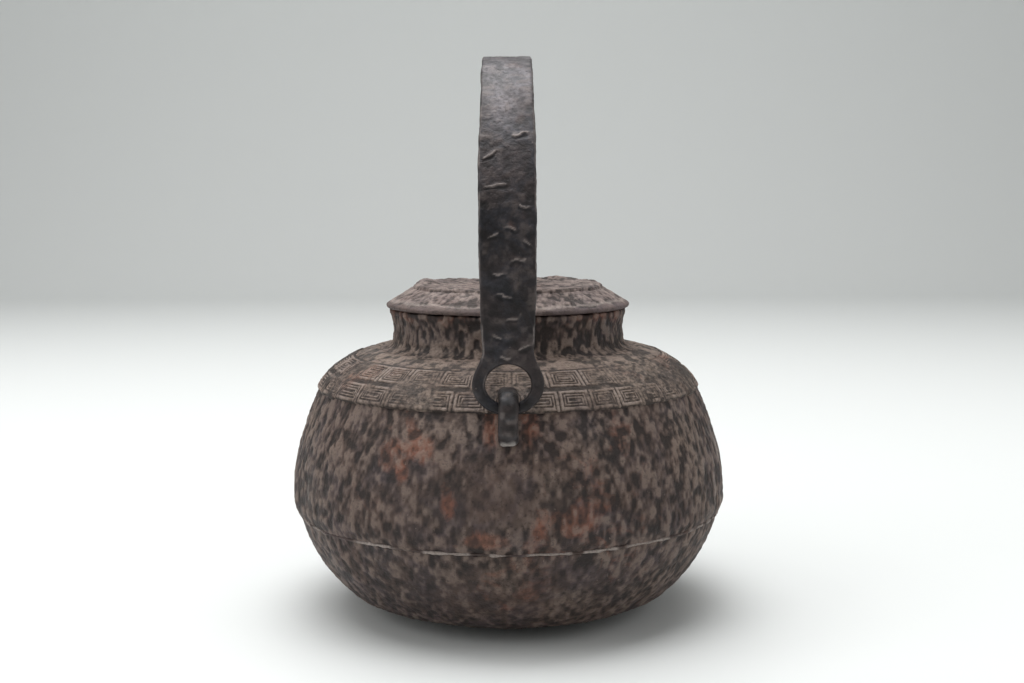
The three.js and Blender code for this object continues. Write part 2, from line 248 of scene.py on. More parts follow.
def ironSkin(name, look):
    # Old iron under thin rust: dull dark metal, brown blotches, orange spots and pale dust on the grain.
    # The wear colour also paints glints of light on the belly's sides, and the dust colour paints light and
    # a highlight on the handle's arch.
    material = bpy.data.materials.new(name)
    material.use_nodes = True
    tree = material.node_tree
    tree.nodes.clear()
    place = addNode(tree, "TexCoord").outputs["Object"]

    def cloud(size, detail, roughness=0.6, distortion=0):
        return addNode(tree, "TexNoise", {
            "Vector": place, "Scale": perMetre(size), "Detail": detail,
            "Roughness": roughness, "Distortion": distortion,
        }).outputs["Fac"]

    def between(value, low, high, start=0, end=1):
        return addNode(tree, "MapRange", {
            "Value": value, "From Min": low, "From Max": high, "To Min": start, "To Max": end,
        }).outputs["Result"]

    def blended(share, under, over):
        return addNode(tree, "Mix", {0: share, 6: under, 7: over}, data_type="RGBA").outputs[2]

    def maths(way, a, b):
        return addNode(tree, "Math", {0: a, 1: b}, operation=way).outputs[0]

    def painted(key):
        return addNode(tree, "Attribute", attribute_name=key).outputs["Fac"]

    blotches = cloud(look["blotchSize"], 7, 0.62, 0.4)
    tints = cloud(look["tintSize"], 5, 0.7, 0.6)
    patches = cloud(look["rustSize"], 8, 0.68, 0.8)
    grain = cloud(look["grainSize"], 3, 0.65)
    specks = cloud(look["speckSize"], 3, 0.6)
    relief = painted("relief")

    colour = blended(between(blotches, 0.38, 0.62), linear(look["dark"]), linear(look["light"]))
    tintShare = maths("MULTIPLY", between(tints, 0.45, 0.62), look["tintShare"])
    colour = blended(tintShare, colour, linear(look["tint"]))
    rustPaint = maths("ADD", painted("rust"), maths("MULTIPLY", maths("SUBTRACT", patches, 0.5), 2.2))
    rustClouds = between(patches, look["rustFrom"], look["rustFrom"] + 0.1)
    rustShare = maths("MAXIMUM", rustClouds, between(rustPaint, 0.35, 0.8))
    colour = blended(maths("MULTIPLY", rustShare, look["rustShare"]), colour, linear(look["rust"]))
    # The dust colour here also paints light from above and a highlight on the handle's arch.
    dustAndSheenShare = maths("MULTIPLY", painted("dustAndSheen"), between(grain, 0.36, 0.6, 0.35, 1))
    colour = blended(dustAndSheenShare, colour, linear(look["dustAndSheen"]))
    hollows = maths("MULTIPLY", between(relief, -0.55, 0.05, 1, 0), look["hollowShare"])
    colour = blended(hollows, colour, linear(look["hollow"]))
    crests = maths("MULTIPLY", between(relief, 0.05, 0.6), look["crestShare"])
    colour = blended(crests, colour, linear(look["crest"]))
    pores = maths("MULTIPLY", between(grain, 0.3, 0.46, 1, 0), look["poreShare"])
    colour = blended(pores, colour, linear(look["hollow"]))
    fleckClouds = between(specks, look["fleckFrom"], look["fleckFrom"] + 0.08)
    flecks = maths("MULTIPLY", fleckClouds, look["fleckShare"])
    colour = blended(flecks, colour, linear(look["crest"]))
    # The wear colour here also paints glints of light on the belly's sides.
    wornAndSheenShare = maths("MULTIPLY", painted("wornAndSheen"), between(grain, 0.3, 0.6, 0.4, 1))
    colour = blended(wornAndSheenShare, colour, linear(look["wornAndSheen"]))

    height = maths("ADD", grain, maths("MULTIPLY", specks, 0.8))
    bump = addNode(tree, "Bump", {
        "Height": height, "Strength": look["bump"], "Distance": look["bumpDepth"] * mm,
    })
    roughness = between(blotches, 0.3, 0.7, look["smoothest"], look["roughest"])
    metal = maths("MULTIPLY", maths("SUBTRACT", 1, rustShare), look["metal"])
    shader = addNode(tree, "BsdfPrincipled", {
        "Base Color": colour, "Metallic": metal, "Roughness": roughness, "Normal": bump.outputs["Normal"],
    })
    addNode(tree, "OutputMaterial", {"Surface": shader.outputs[0]})
    return material


# The pale wear colour below also serves as painted glints of light on the belly's sides.
bodyLook = {  # cast iron: a dull red-brown skin with dark pores and pale dust
    "dark": "#3a2d29", "light": "#57463f", "tint": "#4a3f42", "rust": "#80482f", "dustAndSheen": "#8f7f72",
    "hollow": "#120c0a", "crest": "#85746a", "wornAndSheen": "#a29790",
    "blotchSize": 24, "tintSize": 15, "rustSize": 11, "grainSize": 1.1, "speckSize": 1.9,
    "tintShare": 0.6, "rustFrom": 0.66, "rustShare": 0.6, "hollowShare": 0.75, "crestShare": 0.5,
    "poreShare": 0.5, "fleckFrom": 0.68, "fleckShare": 0.5,
    "bump": 1, "bumpDepth": 0.4, "smoothest": 0.55, "roughest": 0.8, "metal": 0.25,
}
lidLook = bodyLook | {  # the same iron, paler and dustier
    "dark": "#51423e", "light": "#746560", "tint": "#5e5255", "rust": "#74493a", "dustAndSheen": "#9c8e86",
    "crest": "#a09089", "hollow": "#1a1312", "blotchSize": 16,
}
# Its dust colour also paints light from above and a highlight on the arch.
strapLook = {  # forged iron: near-black and faintly blue, smoother than the casting
    "dark": "#1d1819", "light": "#362e2e", "tint": "#2e2f36", "rust": "#63402f", "dustAndSheen": "#7d787c",
    "hollow": "#0a0808", "crest": "#6a605c", "wornAndSheen": "#8d837f",
    "blotchSize": 20, "tintSize": 12, "rustSize": 15, "grainSize": 1.4, "speckSize": 2.4,
    "tintShare": 0.7, "rustFrom": 0.72, "rustShare": 0.5, "hollowShare": 0.6, "crestShare": 0.35,
    "poreShare": 0.4, "fleckFrom": 0.7, "fleckShare": 0.45,
    "bump": 0.8, "bumpDepth": 0.35, "smoothest": 0.4, "roughest": 0.62, "metal": 0.45,
}
loopLook = strapLook | {  # forged iron rubbed bright where the eye hangs
    "dark": "#2c2524", "light": "#463d3c", "tint": "#3a3c40", "crest": "#857b76", "wornAndSheen": "#c9c2bd",
}
bronzeLook = strapLook | {  # bronze under a dark patina, with a low shine
    "dark": "#2b2119", "light": "#4c3a2a", "tint": "#3c3a2c", "rust": "#5c4a33", "crest": "#7a6445",
    "grainSize": 0.9, "bump": 0.35, "bumpDepth": 0.15, "smoothest": 0.34, "roughest": 0.52, "metal": 0.85,
}

bodyIron = ironSkin("castIronSkin", bodyLook)
lidIron = ironSkin("castIronLid", lidLook)
strapIron = ironSkin("forgedIronStrap", strapLook)
loopIron = ironSkin("forgedIronLoop", loopLook)
bronze = ironSkin("patinatedBronze", bronzeLook)
print("materials ready")


# The kettle's casting: bowl, seam, belly, fret band and neck, as rings of one outline

casting = {
    "foot": (38, 0), "heel": (64, 8.1), "seam": (82.9, 38.8), "belly": (85.3, 45), "bandEdge": (74.6, 86.9),
    "knee": (59.7, 99.3), "bandTop": (50.4, 102.2), "neckRoot": (45.5, 105.8), "neckWaist": (45, 110),
    "lip": (46.4, 116.4), "mouth": 118, "wall": 3.5, "innerStep": 5, "middle": 0.4,
    "footStep": 1.3, "bowlStep": 0.6, "bowlColumns": 700, "bellyStep": 0.62, "bellyColumns": 1050,
    "neckStep": 0.42, "neckInnerStep": 2, "neckColumns": 900, "lipRound": 0.5,
    "dentSize": 12, "dentDepth": 0.3, "grainSize": 1.9, "grainDepth": 0.3, "upright": (1, 1, 0.6),
    "tanSpots": [(30, 79, 17, 9, 0.5), (-30, 81, 24, 6, 0.35), (12, 66, 12, 6, 0.2), (58, 72, 12, 16, 0.3),
                 (-70, 62, 10, 20, 0.35)],
    "rustSpots": [(-10, 44.5, 8, 3, 0.9), (-21, 56, 3, 5, 0.9), (-31, 75.5, 6, 4, 0.8),
                  (-37, 66, 3, 4, 0.7), (-5.5, 84, 3.5, 7, 0.9), (7.5, 84, 3.5, 7, 0.8),
                  (-50, 62, 8, 14, 0.25), (20, 50, 14, 8, 0.25)],
}
castPart = (bodyIron, "body_iron", "kettle_body")


def bareOutline():  # the runs of the outline, from the foot to the lip, by name
    c = casting
    return {
        "foot": joined([(c["middle"], 0), c["foot"]], bend(c["foot"], 15, c["heel"], 28)),
        "bowl": bend(c["heel"], 40, c["seam"], 76),
        "belly": joined(bend(c["seam"], 56, c["belly"], 90), bend(c["belly"], 90, c["bandEdge"], 114.5)),
        "band": joined(
            bend(c["bandEdge"], 114.5, c["knee"], 155),
            bend(c["knee"], 155, c["bandTop"], 167)[1:],
        ),
        "neck": joined(
            bend(c["bandTop"], 167, c["neckRoot"], 96),
            bend(c["neckRoot"], 96, c["neckWaist"], 90)[1:],
            bend(c["neckWaist"], 90, c["lip"], 72)[1:],
        ),
    }


def castRough(places, normals):
    # Broad dents, then grain, which is stronger at the sides and on the neck than at the back's middle.
    c = casting
    x, z = places[:, 0], places[:, 2]
    outside = (places[:, 0] * normals[:, 0] + places[:, 1] * normals[:, 1] > 0) | (normals[:, 2] < -0.5)
    dents = layered(places, c["dentSize"], 2, 3) * c["dentDepth"]
    stretched = places * np.array(c["upright"])
    grain = layered(stretched, c["grainSize"], 2, 11) + 0.35 * layered(places, 3.6, 1, 17)
    grain = np.clip(grain * 1.5, -1, 1)
    calm = np.exp(-((x + 6) / 42) ** 2 - ((z - 56) / 17) ** 2) * 0.6
    calm = np.maximum(calm, np.exp(-(x / 52) ** 2 - ((z - 22) / 16) ** 2) * 0.6)
    strength = (1 - calm) * (1 + 0.35 * smoothStep(102, 106, z)) * smoothStep(0.5, 5, z)
    strength *= np.where(outside, 1, 0.3)
    relief = grain * strength
    return relief * c["grainDepth"] + dents * np.where(z > 101, 0.4, 1) * smoothStep(0.5, 5, z), relief


def castPaint(places, normals, relief):
    c = casting
    x, y, z = places.T
    mottled = layered(places * np.array(c["upright"]), 22, 3, 41)
    back = smoothStep(-5, 10, -y)
    oldRust = smoothStep(0.1, 0.6, layered(places, 40, 2, 31))
    rust = spots(x, z, c["rustSpots"]) * back + 0.45 * smoothStep(112, 117, z) + 0.3 * oldRust
    neckFoot = smoothStep(99, 102, z) * (1 - smoothStep(104.5, 110, z))
    tan = spots(x, z, c["tanSpots"]) * (0.6 + mottled)
    dustAndSheen = 0.55 * neckFoot + tan + 0.25 * smoothStep(0.15, 0.6, mottled)
    # Painted reflection: pale vertical streaks in the wear colour run down the belly's left and right edges
    # as seen from the camera. They stand for glints of light, not wear.
    streaks = smoothStep(0.2, 0.7, noise(places * np.array([1, 1, 0.16]), 1.7, 51))
    wornAndSheen = 0.6 * smoothStep(0.8, 0.98, np.abs(x) / c["belly"][0]) * streaks * (z < 90)
    return {"rust": rust, "dustAndSheen": np.clip(dustAndSheen * (0.7 + 0.6 * relief), 0, 1), "wornAndSheen": wornAndSheen}


def castRing(name, outer, step, columns, rough=castRough, paint=castPaint):
    # A ring of the wall, fine outside and coarse inside.
    c = casting
    outer = evenly(outer, step)
    inner = evenly(outer, c["innerStep"])
    inner = (inner - sideways(inner) * c["wall"])[::-1]
    grid = turnedGrid(joined(outer, inner), columns)
    return weathered(meshPiece(name, grid, "vessel", True), rough, paint, *castPart)


def makeBowl(runs):
    c = casting
    outer = joined(evenly(runs["foot"], c["footStep"]), evenly(runs["bowl"], c["bowlStep"])[1:])
    inner = evenly(outer, c["innerStep"])
    inner = inner - sideways(inner) * c["wall"]
    inner[:, 0] = np.maximum(inner[:, 0], c["middle"])
    grid = turnedGrid(joined(outer, inner[::-1]), c["bowlColumns"])
    return weathered(meshPiece("castBowl", grid, "vessel"), castRough, castPaint, *castPart)


def makeNeck(runs):
    c = casting
    outer = evenly(joined(runs["band"][-2:], runs["neck"][1:]), c["neckStep"])
    inner = evenly(outer, c["neckInnerStep"])
    inner = (inner - sideways(inner) * c["wall"])[::-1]
    mouth, rounding = c["mouth"], c["lipRound"]
    outside, inside = outer[-1, 0], inner[0, 0]
    lip = [
        (outside + 0.05, mouth - rounding), (outside - rounding, mouth),
        (inside + rounding, mouth), (inside, mouth - rounding),
    ]
    grid = turnedGrid(joined(outer, lip, inner), c["neckColumns"])
    return weathered(meshPiece("castNeck", grid, "vessel", True), castRough, castPaint, *castPart)


seamRidge = {"proud": 0.9, "thickness": 1, "lift": 0.5, "columns": 1100, "ragged": 0.35, "wander": 0.5}


def makeSeam():  # a thin ragged ridge where the two halves of the mould met
    s = seamRidge
    radius, height = casting["seam"]
    section = np.array([
        [-2, -0.4], [-0.1, -0.55], [0.6, -0.5], [0.95, -0.2], [1, 0.1],
        [0.85, 0.45], [0.4, 0.6], [-0.4, 0.75], [-2, 0.6],
    ])
    acrossRidge = radius + section[:, 0] * s["proud"]
    upRidge = height + s["lift"] + section[:, 1] * s["thickness"]
    outline = np.stack([acrossRidge, upRidge], axis=1)
    grid = turnedGrid(outline, s["columns"])
    grid[..., 2] += layered(grid * np.array([1, 1, 0]), 24, 2, 71) * s["wander"]

    def rough(places, normals):
        ragged = layered(places, 2.6, 3, 61)
        return ragged * s["ragged"], ragged * 0.4

    def paint(places, normals, relief):
        proud = smoothStep(radius - 0.2, radius + 0.7, np.hypot(places[:, 0], places[:, 1]))
        return {"wornAndSheen": 0.85 * proud * smoothStep(-0.5, 0.3, noise(places, 4, 81))}

    return weathered(meshPiece("castingSeam", grid, "vessel", True), rough, paint, *castPart)


outlineRuns = bareOutline()
bellyEnd = joined(outlineRuns["belly"], evenly(outlineRuns["band"], 0.5)[1:4])
makeBowl(outlineRuns)
castRing("castBelly", bellyEnd, casting["bellyStep"], casting["bellyColumns"])
makeNeck(outlineRuns)
makeSeam()
print("casting ready")


# The band of key fret on the shoulder: two rows of square spirals, and the plain ring above them

fret = {
    "rise": 0.8, "step": 0.22, "innerStep": 4, "plainStep": 0.45, "lineRise": 0.42, "linePitch": 1.05,
    "gap": 0.55, "plateRise": 0.55,
    "rows": [
        {"name": "fretRowLower", "from": 0, "to": 9, "low": 0.3, "high": 8.2,
         "cells": 37, "warp": 1, "phase": -0.226, "columns": 2000},
        {"name": "fretRowUpper", "from": 8.6, "to": 20, "low": 9.7, "high": 18.9,
         "cells": 32, "warp": 0, "phase": -0.1, "columns": 1700},
    ],
    "plain": {"name": "shoulderRing", "from": 19.6, "columns": 900},
}


def fretLines(across, up, wide, high):
    # Distance from a cell's middle bar, the larger of across and up. Lines stand a pitch apart in it.
    # In the lower right corner the border between the two is moved by a pitch, so rings join to a spiral.
    f = fret
    half = high / 2 - f["gap"]
    bar = np.maximum(wide - high, 0) / 2
    sideDistance = np.abs(across) - bar
    lowerRight = (across > 0) & (up < 0) & (sideDistance > -up - f["linePitch"])
    distance = np.where(lowerRight, np.maximum(sideDistance, 0), np.maximum(sideDistance, np.abs(up)))
    phase = (half - distance) / f["linePitch"]
    line = 0.5 - 0.5 * np.cos(fullTurn * np.clip(phase, 0, None))
    border = smoothStep(-0.5, 0.05, phase) * (1 - smoothStep(0.3, 0.7, phase))
    return np.maximum(line * (phase > 0), border)


def bandRaised():  # the band's outline, standing proud of the wall, and the length along it
    outline = evenly(outlineRuns["band"], fret["step"])
    lengths = alongLengths(outline)
    ends = smoothStep(-0.05, 0.7, lengths) * (1 - smoothStep(lengths[-1] - 2, lengths[-1], lengths))
    proud = fret["rise"] * ends
    return outline + sideways(outline) * proud[:, None], lengths


def makeFretRow(row):
    f = fret
    raised, lengths = bandRaised()
    inside = (lengths >= row["from"]) & (lengths <= row["to"])
    outer, lengths = raised[inside], lengths[inside]
    inner = evenly(outer, f["innerStep"])
    inner = (inner - sideways(inner) * (casting["wall"] + f["rise"]))[::-1]
    grid = turnedGrid(joined(outer, inner), row["columns"])
    angle = np.linspace(0, fullTurn, row["columns"], endpoint=False)
    cell = row["cells"] * angle / fullTurn + row["warp"] * np.sin(angle) + row["phase"]
    pitchHere = outer[:, 0][:, None] / (row["cells"] / fullTurn + row["warp"] * np.cos(angle))
    across = (cell - np.floor(cell) - 0.5) * pitchHere
    rowHeight = row["high"] - row["low"]
    up = np.broadcast_to((lengths - (row["low"] + row["high"]) / 2)[:, None], across.shape)
    inRow = np.abs(up) < rowHeight / 2
    lines = np.zeros(grid.shape[:2])
    lines[: len(outer)] = fretLines(across, up, pitchHere, rowHeight) * inRow
    shown = np.zeros(grid.shape[:2])
    shown[: len(outer)] = 1
    lines, shown = lines.ravel(), shown.ravel()

    def rough(places, normals):
        broadWear = smoothStep(-0.5, 0.15, layered(places, 16, 2, 91))
        wear = broadWear * smoothStep(-0.75, -0.1, layered(places, 5, 2, 93))
        skin = layered(places, 4.5, 3, 95) * 0.2 + layered(places, 1.5, 2, 96) * 0.06 * (1 - lines * wear)
        plate = flakes(places)
        standing = lines * (0.12 + 0.88 * wear) * (1 - plate)
        relief = (standing * 1.5 - 0.7) * (0.35 + 0.65 * wear) + layered(places, 1.4, 2, 98) * 0.6
        height = standing * f["lineRise"] + plate * f["plateRise"] + skin
        return height * shown, np.clip(relief, -1, 1) * shown

    def paint(places, normals, relief):
        dustAndSheen = 0.5 + 0.35 * layered(places, 12, 3, 99) + 0.12 * relief
        sides = smoothStep(64, 74, np.abs(places[:, 0]))
        rust = 0.5 * smoothStep(0.1, 0.5, layered(places, 20, 2, 97)) + 0.45 * sides
        wornAndSheen = 0.35 * smoothStep(0.3, 0.9, relief)
        return {"dustAndSheen": np.clip(dustAndSheen, 0, 1) * shown, "rust": rust * shown, "wornAndSheen": wornAndSheen * shown}

    return weathered(meshPiece(row["name"], grid, "vessel", True), rough, paint, *castPart)


def flakes(places):  # plates of scale left standing near the two sides, with sharp ragged edges
    aside = np.abs(places[:, 0])
    near = smoothStep(44, 54, aside) * (1 - smoothStep(69, 73, aside))
    return near * smoothStep(0.02, 0.12, layered(places, 15, 3, 101))


def makeShoulderRing():
    f = fret
    raised, lengths = bandRaised()
    outer = raised[lengths >= f["plain"]["from"]]

    def rough(places, normals):
        skin = layered(places, 3.2, 3, 105) * 0.3
        return skin, np.clip(skin * 5, -1, 1)

    def paint(places, normals, relief):
        radius = np.hypot(places[:, 0], places[:, 1])
        streaks = smoothStep(0.1, 0.5, np.sin(radius * 2.1 + 2 * layered(places, 15, 2, 107)))
        dustAndSheen = 0.55 + 0.3 * layered(places, 9, 3, 109) + 0.3 * streaks
        rust = 0.35 * smoothStep(0.2, 0.6, layered(places, 16, 2, 111))
        return {"dustAndSheen": np.clip(dustAndSheen, 0, 1), "rust": rust}

    castRing(f["plain"]["name"], outer, f["plainStep"], f["plain"]["columns"], rough, paint)


for fretRow in fret["rows"]:
    makeFretRow(fretRow)
makeShoulderRing()
print("fret band ready")


# The spout, cast with the body

spout = {
    "start": (71.8, 52), "first": (91.4, 58.1), "second": (101.4, 78), "tip": (113, 103),
    "rootRadius": 17.5, "tipRadius": 8.2, "rootBore": 13, "tipBore": 5.2,
    "flare": 5, "flareMiddle": 0.1, "flareReach": 0.13, "lipRound": 0.5, "rows": 150, "columns": 180,
}


def makeSpout():
    # A tube along a cubic curve. Its radius falls as a sine, and it flares where it leaves the wall.
    s = spout
    a, b, c, d = (np.array(s[key], float) for key in ("start", "first", "second", "tip"))
    t = np.linspace(0, 1, s["rows"])[:, None]
    centre = (1 - t) ** 3 * a + 3 * (1 - t) ** 2 * t * b + 3 * (1 - t) * t ** 2 * c + t ** 3 * d
    ease = np.sin(t[:, 0] * math.pi / 2)
    flare = s["flare"] * np.exp(-((t[:, 0] - s["flareMiddle"]) / s["flareReach"]) ** 2)
    outer = s["rootRadius"] + (s["tipRadius"] - s["rootRadius"]) * ease + flare
    bore = s["rootBore"] + (s["tipBore"] - s["rootBore"]) * ease
    angle = np.linspace(0, fullTurn, s["columns"], endpoint=False)
    circle = np.stack([np.cos(angle), np.sin(angle)], axis=1)
    outside = sweptGrid(centre, outer[:, None, None] * circle)
    inside = sweptGrid(centre, bore[:, None, None] * circle)[::-4]
    outward = (centre[-1] - centre[-2]) / np.linalg.norm(centre[-1] - centre[-2])
    lip = []
    lipOuter, lipInner = s["tipRadius"] - s["lipRound"], s["tipBore"] + s["lipRound"]
    lipMiddle = (s["tipRadius"] + s["tipBore"]) / 2
    for radius, proud in ((lipOuter, 0.35), (lipMiddle, 0.6), (lipInner, 0.35)):
        ring = sweptGrid(centre[-2:], np.repeat(radius * circle[None], 2, axis=0))[-1]
        lip.append(ring + np.array([0, outward[0], outward[1]]) * proud)
    grid = joined(outside, lip, inside)

    def paint(places, normals, relief):
        rust = 0.4 * smoothStep(0.1, 0.6, layered(places, 20, 2, 115))
        return {"dustAndSheen": 0.15 + 0.2 * layered(places, 14, 2, 113), "rust": rust}

    return weathered(meshPiece("spout", grid, "vessel", True), castRough, paint, *castPart)


makeSpout()
print("spout ready")


# The lid

lidShape = {
    "columns": 760, "topStep": 0.6, "fineStep": 0.36, "underStep": 2.2, "rest": 118.3, "rimRadius": 48,
    "rimThickness": 2.3, "panelRadius": 37.6, "panelRise": 7.4, "panelStep": 1.4, "crown": 0.5, "wall": 3,
    "hole": 2.3, "flatUnder": 8, "flangeRadius": 40.9, "flangeWall": 2.6, "flangeDepth": 5.2,
    "reliefPlaces": [(-33, 6, 5, 16, 1.6), (-24, 22, 9, 10, 1.3), (33, 8, 5, 12, 1.4), (24, 24, 12, 7, 1.9),
                     (30, 16, 5, 5, 0.8), (-8, 30, 9, 5, 0.6), (-30, -12, 5, 8, 0.5)],
}


def makeLid():
    s = lidShape
    rest, rim, panel = s["rest"], s["rimRadius"], s["panelRadius"]
    panelTop = rest + s["panelRise"] + s["panelStep"]
    inside = s["flangeRadius"] - s["flangeWall"]
    underPanel = panelTop - s["wall"]
    flangeFoot = rest - s["flangeDepth"]
    under = joined(
        [(s["hole"], underPanel), (s["flatUnder"], underPanel)],
        [(panel - s["wall"], underPanel - s["panelStep"])],
        [(inside, rest), (inside, flangeFoot), (s["flangeRadius"], flangeFoot), (s["flangeRadius"], rest)],
    )
    over = joined(
        [(s["flangeRadius"] + 1, rest), (rim - 0.7, rest + 0.05)],
        bend((rim - 0.7, rest + 0.05), 20, (rim, rest + 1.1), 90, 8),
        bend((rim, rest + 1.1), 90, (rim - 1.3, rest + s["rimThickness"]), 150, 10),
        bend((rim - 1.3, rest + s["rimThickness"]), 150, (panel, rest + s["panelRise"]), 152, 20),
        bend((panel - 0.3, rest + s["panelRise"] - 0.1), 95, (panel - 1, panelTop), 170, 8),
        [(panel / 2, panelTop + s["crown"]), (s["hole"], panelTop + s["crown"])],
    )
    fine = evenly(over[:-2], s["fineStep"])
    top = evenly(over[-3:], s["topStep"])[1:]
    grid = turnedGrid(joined(evenly(under, s["underStep"]), fine, top), s["columns"])

    def rough(places, normals):
        x, y, z = places.T
        radius = np.hypot(x, y)
        top = smoothStep(rest + 0.4, rest + 1.2, z)
        dents = layered(places, 7, 2, 121) * 0.42
        pits = smoothStep(0.3, 0.7, noise(places, 3.1, 123)) * 0.3
        grain = np.clip(layered(places, 1.7, 2, 125) * 1.4, -1, 1)
        raised = spots(x, y, s["reliefPlaces"]) * smoothStep(panel - 0.4, panel - 3, radius)
        raised *= 0.7 + 0.6 * layered(places, 6, 2, 127)
        rimSmooth = smoothStep(rest + 2.0, rest + 3.2, z + 0.5 * layered(places, 6, 2, 129))
        skin = dents * rimSmooth - pits * rimSmooth + grain * 0.17 * (0.25 + 0.75 * rimSmooth)
        height = (skin + raised) * top
        return height, np.clip(grain * 0.8 + dents - pits * 1.6, -1, 1) * (0.2 + 0.8 * rimSmooth)

    def paint(places, normals, relief):
        z = places[:, 2]
        wave = z + 0.8 * layered(places, 7, 2, 129)
        bright = smoothStep(rest + 2.4, rest + 2.9, wave) * (1 - smoothStep(rest + 3, rest + 3.8, wave))
        cone = smoothStep(rest + 2, rest + 3, wave)
        dustAndSheen = cone * (0.35 + 0.4 * layered(places, 9, 3, 131))
        rust = 0.4 * cone * smoothStep(0.1, 0.5, layered(places, 12, 2, 133))
        return {"wornAndSheen": 0.5 * bright, "dustAndSheen": np.clip(dustAndSheen, 0, 1), "rust": rust}

    return weathered(meshPiece("castLid", grid, "cover", True), rough, paint, lidIron, "lid_iron", "lid")


makeLid()
print("lid ready")


# The forged handle: a strap bent to an arch, drawn out to an eye at each end

strap = {
    "archTop": 215.4, "eyeOffset": 78, "eyeHeight": 97.7, "thickness": 4, "corner": 0.9, "voxel": 0.45,
    "pathStep": 0.7, "sectionStep": 0.35, "eyeStep": 0.5,
    "widths": [(100, 17.2), (106, 17.2), (113, 17.9), (125, 18.9), (140, 20), (175, 19.9), (195, 18.9),
               (216, 18.8)],
    "eyeWide": 24.8, "eyeFoot": 10.6, "eyeNeck": 15, "eyeThickness": 4.4, "eyeBevel": 0.9, "eyeCorner": 0.3,
    "holeWide": 15.8, "holeHigh": 14,
    "chips": [(-3.5, 165.6, 4.5, 0.05), (6, 158.5, 2.6, -0.2), (1.3, 151, 3, -0.1), (-5, 148.5, 2.4, 0.5),
              (3.5, 140, 3.2, 0.1), (-2.5, 136, 3.4, 0.25), (6.5, 146, 2, -0.4), (-1.5, 128, 3.5, -0.15),
              (4.5, 183, 3.5, 0.1), (-6, 176, 2, 0.3), (2, 121, 2.6, 0.2), (-4, 114, 2.4, -0.2),
              (5.5, 110.5, 2.2, 0.3), (-1, 107, 3, 0.1)],
    "rustSpots": [(2, 209, 5, 2, 1), (4.5, 188, 3.5, 3, 1), (1.5, 152.5, 3, 2.5, 1), (-3, 205, 4, 3, 0.6)],
}


def makeHandle():
    s = strap
    archHeight = s["archTop"] - s["thickness"] / 2 - s["eyeOffset"]
    legFoot = s["eyeHeight"] + s["eyeNeck"] - 2
    turn = np.linspace(0, math.pi, 240)
    arch = np.stack([s["eyeOffset"] * np.cos(turn), archHeight + s["eyeOffset"] * np.sin(turn)], axis=1)
    path = evenly(joined([(s["eyeOffset"], legFoot)], arch, [(-s["eyeOffset"], legFoot)]), s["pathStep"])
    section = roundedBox(2, s["thickness"], s["corner"], s["sectionStep"])
    heights, widths = np.array(s["widths"]).T
    half = np.interp(path[:, 1], heights, widths)[:, None] / 2
    spread = np.sign(section[:, 0]) * half - (np.sign(section[:, 0]) - section[:, 0])
    sections = np.stack([spread, np.repeat(section[:, 1][None], len(path), axis=0)], axis=2)
    parts = [meshPiece("strapBar", sweptGrid(path, sections)[:, ::-1], None)]
    for side in (1, -1):
        parts.append(makeEye(side))
    piece = fused("handleStrap", parts, "bail", s["voxel"], 2)
    return weathered(piece, strapRough, strapPaint, strapIron, "handle_iron", "handle")


def makeEye(side):
    # A ring round the hole's ellipse: an ellipse outside below, which flares in to the strap's neck above.
    s = strap
    neck = s["widths"][0][1] / 2
    wide = s["eyeWide"] / 2
    low = np.linspace(math.pi, fullTurn, 60)
    outline = joined(
        np.stack([wide * np.cos(low), s["eyeFoot"] * np.sin(low)], axis=1),
        bend((wide, 0), 90, (neck, s["eyeNeck"] * 0.75), 100, 30)[1:], [(neck, s["eyeNeck"])],
        [(-neck, s["eyeNeck"])], bend((-neck, s["eyeNeck"] * 0.75), 260, (-wide, 0), 270, 30)[:-1],
    )
    outline = evenly(np.concatenate([outline, outline[:1]]), s["eyeStep"])[:-1]
    angle = np.arctan2(outline[:, 1] / s["holeHigh"], outline[:, 0] / s["holeWide"])
    hole = np.stack([s["holeWide"] / 2 * np.cos(angle), s["holeHigh"] / 2 * np.sin(angle)], axis=1)
    reach = np.linalg.norm(outline - hole, axis=1)[:, None]
    way = (outline - hole) / reach
    half = s["eyeThickness"] / 2
    bevel, corner = s["eyeBevel"], s["eyeCorner"]
    profile = [(0, bevel), (corner, corner), (bevel, 0), (-bevel, 0), (-corner, corner), (None, bevel)]
    edges = [(fromHole, inset - half) for fromHole, inset in profile]
    edges += [(fromHole, half - inset) for fromHole, inset in profile[::-1]]
    rows = []
    for fromHole, depth in edges:
        if fromHole is None:
            flat = outline
        elif fromHole < 0:
            flat = outline + way * fromHole
        else:
            flat = hole + way * fromHole
        deep = np.full(len(flat), s["eyeOffset"] + depth)
        rows.append(np.stack([flat[:, 0], deep, s["eyeHeight"] + flat[:, 1]], axis=1))
    grid = np.array(rows)[::-1]
    if side < 0:
        grid = grid * np.array([-1, -1, 1])
    return meshPiece("strapEye", grid, None, True)


def chipMarks(places):  # ragged lips of scale across the strap: a ridge with a hollow below it
    x, z = places[:, 0], places[:, 2]
    ridge = np.zeros(x.shape)
    for middleX, middleZ, reach, tilt in strap["chips"]:
        wander = layered(places, 3, 2, 141) * 1.2
        off = z - middleZ - tilt * (x - middleX) + wander
        window = smoothStep(reach, reach * 0.6, np.abs(x - middleX + wander)) * (places[:, 1] < 0)
        ridge += window * (np.exp(-(off / 0.45) ** 2) - 0.8 * np.exp(-((off + 0.9) / 0.6) ** 2))
    lines = 1 - np.abs(layered(places * np.array([0.35, 1, 1]), 9, 2, 143)) * 14
    everywhere = np.clip(lines, 0, 1) * smoothStep(0.1, 0.4, noise(places, 7, 145))
    return np.clip(ridge + 0.6 * everywhere * (places[:, 1] > -60), -1, 1)


